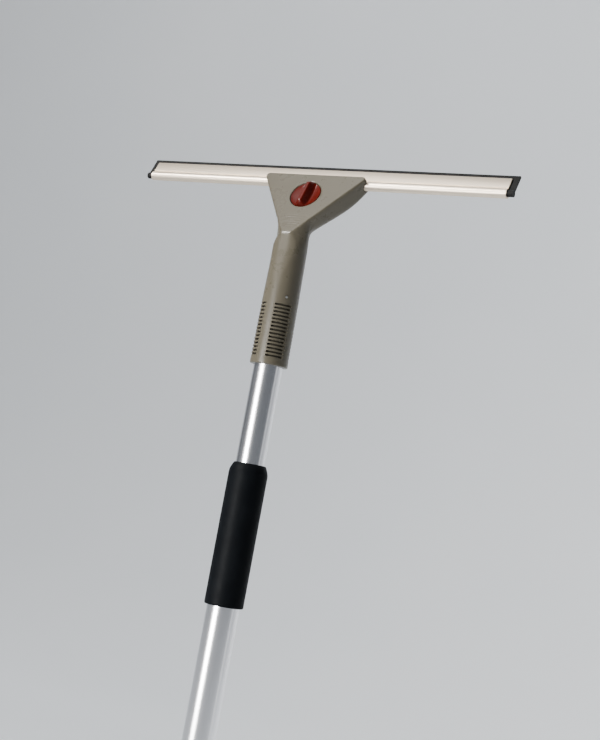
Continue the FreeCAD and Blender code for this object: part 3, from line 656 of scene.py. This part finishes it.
# ---- materials -----------------------------------------------------------------------------------
class Shader:
    """A material's node tree, with short calls for the nodes it needs."""

    def __init__(self, name):
        self.material = bpy.data.materials.new(name)
        self.material.use_nodes = True
        self.tree = self.material.node_tree
        self.tree.nodes.clear()
        self.surface = self.add("ShaderNodeBsdfPrincipled")
        self.output = self.add("ShaderNodeOutputMaterial")
        self.tree.links.new(self.surface.outputs["BSDF"], self.output.inputs["Surface"])
        self.coords = self.add("ShaderNodeTexCoord").outputs["Object"]

    def add(self, kind, **values):
        """A new node, with its settings."""
        node = self.tree.nodes.new(kind)
        for key, value in values.items():
            setattr(node, key, value)
        return node

    def link(self, a, b):
        self.tree.links.new(a, b)

    def set(self, **values):
        """Constants for the surface's own sockets, named with _ for each space."""
        for key, value in values.items():
            self.surface.inputs[key.replace("_", " ")].default_value = value

    def stretched(self, scale):
        """Object coordinates scaled unevenly, for grain that runs one way."""
        mapping = self.add("ShaderNodeMapping")
        mapping.inputs["Scale"].default_value = scale
        self.link(self.coords, mapping.inputs["Vector"])
        return mapping.outputs["Vector"]

    def noise(self, scale, detail=4.0, rough=0.6, vector=None):
        """Noise from 0 to 1, over object coordinates unless a vector is given."""
        node = self.add("ShaderNodeTexNoise")
        node.inputs["Scale"].default_value = scale
        node.inputs["Detail"].default_value = detail
        node.inputs["Roughness"].default_value = rough
        self.link(vector or self.coords, node.inputs["Vector"])
        return node.outputs["Fac"]

    def ramp(self, factor, stops):
        """A colour ramp of (position, grey level or colour)."""
        node = self.add("ShaderNodeValToRGB")
        ramp = node.color_ramp
        while len(ramp.elements) < len(stops):
            ramp.elements.new(0.5)
        for element, (at, colour) in zip(ramp.elements, stops):
            element.position = at
            element.color = colour if isinstance(colour, tuple) else (colour, colour, colour, 1.0)
        self.link(factor, node.inputs["Fac"])
        return node.outputs["Color"]

    def mix(self, factor, a, b, kind="MIX"):
        """A mix of two colours; each argument is a number, a colour or another node's output."""
        node = self.add("ShaderNodeMix", data_type="RGBA", blend_type=kind)
        colour_a, colour_b = node.inputs[6], node.inputs[7]
        for socket, value in ((node.inputs["Factor"], factor), (colour_a, a), (colour_b, b)):
            if isinstance(value, (float, int, tuple)):
                socket.default_value = value
            else:
                self.link(value, socket)
        return node.outputs[2]

    def bump(self, height, strength, distance, onto=None):
        """A bumped normal; distance is in metres."""
        node = self.add("ShaderNodeBump")
        node.inputs["Strength"].default_value = strength
        node.inputs["Distance"].default_value = distance
        self.link(height, node.inputs["Height"])
        if onto is not None:
            self.link(onto, node.inputs["Normal"])
        return node.outputs["Normal"]

    def groove_shade_mask(self):
        """Mask for painted groove shade: 1 below the sleeve's surface, in the bottoms of its grooves, and 0
        elsewhere.
        """
        radial = self.add("ShaderNodeVectorMath", operation="LENGTH")
        self.link(self.stretched((1.0, 1.0, 0.0)), radial.inputs[0])
        deep = self.ramp(radial.outputs["Value"], [(GROOVE_DARK_R * MM, 1.0), (GROOVE_PALE_R * MM, 0.0)])
        height = self.add("ShaderNodeSeparateXYZ")
        self.link(self.coords, height.inputs["Vector"])
        dark_top, pale_top = (SLEEVE_Z + GROOVE_DARK_TOP) * MM, (SLEEVE_Z + GROOVE_PALE_TOP) * MM
        low = self.ramp(height.outputs["Z"], [(dark_top, 1.0), (pale_top, 0.0)])
        return self.mix(1.0, deep, low, "MULTIPLY")

    def finish(self, colour=None, roughness=None, normal=None):
        """Links what varies to the surface, and returns the material."""
        for name, value in (("Base Color", colour), ("Roughness", roughness), ("Normal", normal)):
            if value is not None:
                self.link(value, self.surface.inputs[name])
        return self.material


def rgb(r, g, b):
    """An opaque linear colour."""
    return (r, g, b, 1.0)


def moulded(name, base, light, dark, grain=2600.0, rough=(0.42, 0.6), shine=0.45, paints_groove_shade=False):
    """Moulded plastic: a fine spark-eroded grain, faint flow marks, and painted shade in the bottoms of its
    grooves.
    """
    depth = 0.00004
    s = Shader(name)
    flow = s.noise(28.0, 5.0, 0.6)
    fine = s.noise(grain, 3.0, 0.7)
    specks = s.noise(1300.0, 3.0, 0.6)
    colour = s.mix(s.ramp(flow, [(0.35, 0.0), (0.68, 1.0)]), base, light)
    colour = s.mix(s.ramp(specks, [(0.4, 0.0), (0.7, 0.2)]), colour, dark)
    if paints_groove_shade:
        # painted shade: a near-black colour in the bottoms of the sleeve's grooves stands in for their
        # shadow
        painted_groove_shade = rgb(0.008, 0.0075, 0.0055)
        colour = s.mix(s.groove_shade_mask(), colour, painted_groove_shade)
    roughness = s.ramp(s.noise(90.0, 4.0, 0.65), [(0.3, rough[0]), (0.7, rough[1])])
    normal = s.bump(fine, 0.35, depth)
    normal = s.bump(s.noise(520.0, 3.0, 0.6), 0.08, depth * 1.6, normal)
    s.set(Specular_IOR_Level=shine)
    return s.finish(colour, roughness, normal)


def drawn_metal(name, base, dull, along, rough):
    """Drawn or extruded aluminium: fine lines one way, faint cloudiness and a few small scuffs."""
    s = Shader(name)
    lines = s.noise(1.0, 5.0, 0.62, s.stretched(along))
    cloud = s.noise(9.0, 3.0, 0.5)
    scuffs = s.ramp(s.noise(260.0, 5.0, 0.7), [(0.66, 0.0), (0.76, 0.35)])
    colour = s.mix(s.ramp(cloud, [(0.3, 0.0), (0.75, 0.5)]), base, dull)
    colour = s.mix(s.ramp(lines, [(0.35, 0.0), (0.75, 0.35)]), colour, dull)
    roughness = s.mix(scuffs, s.ramp(lines, [(0.25, rough[0]), (0.8, rough[1])]), rgb(0.4, 0.4, 0.4))
    normal = s.bump(lines, 0.25, 0.000004)
    s.set(Metallic=1.0)
    return s.finish(colour, roughness, normal)


def rubbery(name, base, worn, rough, fine, depth, shine):
    """Rubber with a fine matt grain, and paler where it is worn."""
    s = Shader(name)
    cloud = s.noise(60.0, 5.0, 0.65)
    colour = s.mix(s.ramp(cloud, [(0.4, 0.0), (0.78, 1.0)]), base, worn)
    roughness = s.ramp(s.noise(180.0, 4.0, 0.6), [(0.3, rough[0]), (0.72, rough[1])])
    normal = s.bump(s.noise(fine, 3.0, 0.6), 0.3, depth)
    s.set(Specular_IOR_Level=shine)
    return s.finish(colour, roughness, normal)


def glossy_red(name):
    """Polished red moulding with a slight depth to its colour and fine handling scratches."""
    s = Shader(name)
    cloud = s.noise(90.0, 4.0, 0.6)
    bright, deep = rgb(0.082, 0.006, 0.003), rgb(0.06, 0.004, 0.002)
    colour = s.mix(s.ramp(cloud, [(0.3, 0.0), (0.72, 1.0)]), bright, deep)
    scratches = s.noise(1.0, 4.0, 0.7, s.stretched((900.0, 140.0, 160.0)))
    roughness = s.ramp(scratches, [(0.4, 0.22), (0.75, 0.34)])
    normal = s.bump(scratches, 0.12, 0.00001)
    normal = s.bump(s.noise(260.0, 2.0, 0.5), 0.1, 0.00006, normal)
    s.set(Specular_IOR_Level=0.12)
    return s.finish(colour, roughness, normal)


def plated_steel(name):
    """Zinc-plated steel with a cloudy, slightly uneven lustre."""
    s = Shader(name)
    cloud = s.noise(240.0, 5.0, 0.65)
    bright, dull = rgb(0.62, 0.62, 0.6), rgb(0.42, 0.42, 0.41)
    colour = s.mix(s.ramp(cloud, [(0.35, 0.0), (0.7, 1.0)]), bright, dull)
    roughness = s.ramp(s.noise(900.0, 3.0, 0.6), [(0.3, 0.22), (0.7, 0.4)])
    s.set(Metallic=1.0)
    return s.finish(colour, roughness, s.bump(cloud, 0.15, 0.00002))


SLOT_MATERIALS = {
    # the grey moulding carries painted shade in the bottoms of the sleeve's grooves
    "grey_moulding": moulded(
        "grey_moulding", rgb(0.078, 0.069, 0.050), rgb(0.086, 0.0765, 0.056), rgb(0.060, 0.053, 0.039),
        rough=(0.25, 0.34), shine=0.26, paints_groove_shade=True),
    "black_moulding": moulded(
        "black_moulding", rgb(0.018, 0.018, 0.019), rgb(0.026, 0.026, 0.027), rgb(0.012, 0.012, 0.012)),
    "white_moulding": moulded(
        "white_moulding", rgb(0.72, 0.71, 0.67), rgb(0.78, 0.77, 0.73), rgb(0.6, 0.59, 0.55),
        grain=1800.0, rough=(0.35, 0.5)),
    "red_moulding": glossy_red("red_moulding"),
    "anodised_tube": drawn_metal(
        "anodised_tube", rgb(0.88, 0.88, 0.9), rgb(0.78, 0.78, 0.8),
        along=(1100.0, 1100.0, 4.0), rough=(0.2, 0.26)),
    "channel_aluminium": drawn_metal(
        "channel_aluminium", rgb(0.72, 0.62, 0.50), rgb(0.62, 0.53, 0.43),
        along=(4.0, 1300.0, 1300.0), rough=(0.34, 0.44)),
    "grip_rubber": rubbery(
        "grip_rubber", rgb(0.003, 0.0036, 0.0045), rgb(0.0045, 0.0054, 0.0065),
        rough=(0.42, 0.54), fine=1100.0, depth=0.00006, shine=0.035),
    "blade_rubber": rubbery(
        "blade_rubber", rgb(0.004, 0.004, 0.004), rgb(0.009, 0.009, 0.009),
        rough=(0.5, 0.68), fine=1500.0, depth=0.00005, shine=0.15),
    "screw_steel": plated_steel("screw_steel"),
}


def dress(obj, slot_name):
    """Gives the piece its finish."""
    obj.data.materials.clear()
    obj.data.materials.append(SLOT_MATERIALS[slot_name])


def stand_for(obj, node, body, slot_name):
    """The piece takes the CAD node's place, rides on its body and takes its finish."""
    dress(obj, slot_name)
    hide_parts(node)
    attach(obj, body)


# ---- build ---------------------------------------------------------------------------------------
for part in frame["record"]["subparts"]:
    dress(nodes[part["node"]], part["material_slot"])

form = handle_form("handle_moulding")
cover_block = behind_cover("cover_tool", COVER_INSET, 0.0)
cover = combine(duplicate(form, "rear_cover"), [cover_block], "INTERSECT", 40.0)
handle = combine(form, handle_tools(), "DIFFERENCE", 40.0)
combine(cover, cover_screw_tools(), "DIFFERENCE", 40.0)
stand_for(handle, "handle", "inner_pole", "grey_moulding")
stand_for(cover, "back_cover", "inner_pole", "grey_moulding")
stand_for(pin_mesh("cross_pin"), "socket_pin", "inner_pole", "screw_steel")
stand_for(knob_mesh("finger_knob"), "lock_knob", "knob", "red_moulding")
stand_for(channel_mesh("channel_extrusion"), "blade_channel", "blade", "channel_aluminium")
stand_for(rubber_mesh("squeegee_rubber"), "rubber_blade", "blade", "blade_rubber")

inner = [(INNER_TUBE_BORE_R, TUBE_FOOT), (INNER_TUBE_R - 0.1, TUBE_FOOT), (INNER_TUBE_R, TUBE_FOOT + 0.1),
         (INNER_TUBE_R, TUBE_TOP - 0.1), (INNER_TUBE_R - 0.1, TUBE_TOP), (INNER_TUBE_BORE_R, TUBE_TOP)]
stand_for(lathe("upper_tube", inner, 160), "inner_tube", "inner_pole", "anodised_tube")

# a shallow groove in the outer tube holds the grip's inner bead
groove_top = GRIP_BOTTOM + GRIP_GROOVE_HEIGHT
outer = [(OUTER_TUBE_BORE_R, 0.0), (OUTER_TUBE_R - 0.15, 0.0), (OUTER_TUBE_R, 0.15),
         (OUTER_TUBE_R, GRIP_BOTTOM), (GRIP_GROOVE_R, GRIP_BOTTOM + 0.1),
         (GRIP_GROOVE_R, groove_top - 0.1), (OUTER_TUBE_R, groove_top),
         (OUTER_TUBE_R, OUTER_TUBE_TOP - 0.2), (OUTER_TUBE_R - 0.2, OUTER_TUBE_TOP),
         (OUTER_TUBE_BORE_R, OUTER_TUBE_TOP)]
stand_for(lathe("lower_tube", outer, 160), "outer_tube", "outer_pole", "anodised_tube")

grip = [(13.62, GRIP_BOTTOM), (15.4, GRIP_BOTTOM)]
for degrees in (15, 30, 45, 60, 75, 90):
    turn = math.radians(degrees)
    grip.append((GRIP_FOOT_R + GRIP_FOOT_ROUNDING * math.sin(turn),
                 GRIP_BOTTOM + GRIP_FOOT_ROUNDING - GRIP_FOOT_ROUNDING * math.cos(turn)))
grip += [(GRIP_R, GRIP_BOTTOM + 3 + GRIP_RING_PITCH * i) for i in range(GRIP_RINGS)]
# the tapered top: radius, and distance below the grip's top
taper = ((GRIP_R, 8.5), (16.62, 7.3), (16.3, 6.0), (15.7, 4.2), (15.0, 2.6), (14.3, 1.2), (13.8, 0.4),
         (13.4, 0.0), (12.95, 0.0), (12.9, 0.3))
grip += [(r, GRIP_TOP - below) for r, below in taper]
grip += [(12.9, 504.0), (OUTER_TUBE_R, 504.0), (OUTER_TUBE_R, groove_top), (13.62, groove_top - 0.1)]
stand_for(lathe("hand_grip", grip, 160), "grip_sleeve", "outer_pole", "grip_rubber")


# ---- studio, in metres ---------------------------------------------------------------------------
def backdrop():
    """A wide pale floor that sweeps up behind the object; lengths are in metres."""
    floor_z, wall_y, curve, top = -0.0245, 1.6, 1.2, 6.0
    half_width, strips = 10.0, 20
    line = [(y, floor_z) for y in (-14.0, -6.0, -3.0, -1.0, 0.5, wall_y)]
    for t in np.linspace(0.1, math.pi / 2, 14):
        line.append((wall_y + curve * math.sin(t), floor_z + curve - curve * math.cos(t)))
    line.append((wall_y + curve, top))
    columns = np.linspace(-half_width, half_width, strips + 1)
    points = [(x / MM, y / MM, z / MM) for x in columns for y, z in line]
    n = len(line)
    faces = []
    for i in range(strips):
        for j in range(n - 1):
            faces.append((i * n + j, (i + 1) * n + j, (i + 1) * n + j + 1, i * n + j + 1))
    obj = make("studio_sweep", points, faces, 60.0)
    s = Shader("studio_paper")
    tones = [(0.3, rgb(0.80, 0.82, 0.84)), (0.7, rgb(0.83, 0.845, 0.86))]
    tone = s.ramp(s.noise(3.0, 3.0, 0.5), tones)
    s.set(Emission_Color=rgb(0.93, 0.95, 0.97), Emission_Strength=0.26)
    s.finish(tone, s.ramp(s.noise(40.0), [(0.3, 0.75), (0.7, 0.85)]), None)
    obj.data.materials.append(s.material)


def soft_light(name, at, look, size, power, colour, spread=180.0):
    """A rectangular light at a place, turned to another; metres, watts and degrees."""
    lamp = bpy.data.lights.new(name, "AREA")
    lamp.shape = "RECTANGLE"
    lamp.size, lamp.size_y = size
    lamp.energy = power
    lamp.color = colour
    lamp.spread = math.radians(spread)
    obj = bpy.data.objects.new(name, lamp)
    obj.location = at
    obj.rotation_euler = (Vector(look) - Vector(at)).to_track_quat("-Z", "Y").to_euler()
    bpy.context.scene.collection.objects.link(obj)


def camera():
    """The camera, from the directions of its picture's right, down and view axes."""
    right = Vector((0.854963, 0.486114, 0.180920))
    down = Vector((0.108342, 0.173742, -0.978813))
    forward = Vector((-0.507248, 0.856450, 0.095876))
    data = bpy.data.cameras.new("camera")
    data.sensor_width = 36.0
    data.lens = 71.01
    data.clip_start, data.clip_end = 0.05, 50.0
    obj = bpy.data.objects.new("camera", data)
    place = Matrix((right, -down, -forward)).transposed().to_4x4()
    sideways = 0.0007
    place.translation = Vector((0.65399, -1.05236, 0.47697)) + right * sideways
    obj.matrix_world = place
    bpy.context.scene.collection.objects.link(obj)
    bpy.context.scene.camera = obj


backdrop()
head, pole, grip_place = (0.0, 0.0, 0.65), (0.0, 0.0, 0.34), (0.0, 0.0, 0.5)
warm, soft_warm, near_white = (1.0, 0.98, 0.94), (1.0, 0.985, 0.96), (1.0, 0.99, 0.97)
cool, soft_cool = (0.95, 0.97, 1.0), (0.97, 0.985, 1.0)
soft_light("key", (-1.1, -1.45, 1.9), head, (0.5, 0.6), 6.2, warm, 50.0)
soft_light("top_panel", (-0.6, -0.8, 2.45), head, (1.2, 0.7), 5.5, soft_warm, 120.0)
soft_light("strip", (-0.55, -1.75, 0.4), pole, (0.85, 0.8), 8.0, near_white, 60.0)
soft_light("right_band", (1.9, 0.55, 0.6), grip_place, (0.5, 1.4), 1.0, cool)
soft_light("back_fill", (-1.0, 1.7, 1.7), head, (1.2, 1.0), 4.0, soft_cool, 90.0)
soft_light("backdrop_light", (0.0, 1.3, 3.6), (0.0, 2.4, 0.0), (5.0, 1.2), 50.0, soft_cool, 130.0)
world = bpy.data.worlds.new("studio")
world.use_nodes = True
sky = world.node_tree.nodes["Background"]
sky.inputs["Color"].default_value = rgb(0.78, 0.84, 0.92)
sky.inputs["Strength"].default_value = 0.17
bpy.context.scene.world = world
camera()
